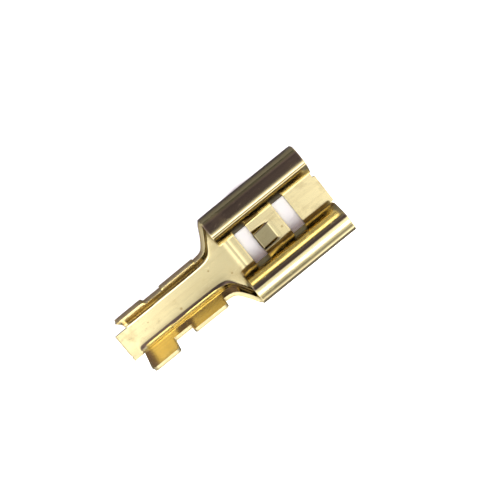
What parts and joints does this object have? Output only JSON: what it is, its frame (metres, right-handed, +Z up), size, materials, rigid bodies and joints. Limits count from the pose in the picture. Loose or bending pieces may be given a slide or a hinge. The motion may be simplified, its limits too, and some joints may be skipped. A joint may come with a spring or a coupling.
{
  "type": "female spade terminal",
  "caption": "Female spade terminal folded from brass strip, with curled sides that grip a flat tab and open wings that crimp on a wire.",
  "frame": {"origin": "middle of the footprint, level with the underside of the receptacle's floor", "axes": "+X along the terminal towards the mouth that takes the tab, +Z up out of the folded channel"},
  "size_m": [0.0192, 0.0078, 0.0041],
  "materials": {
    "bright_brass": "bright rolled brass strip, bare"
  },
  "bodies": {
    "root": {"terminal": "bright_brass"}
  },
  "joints": []
}
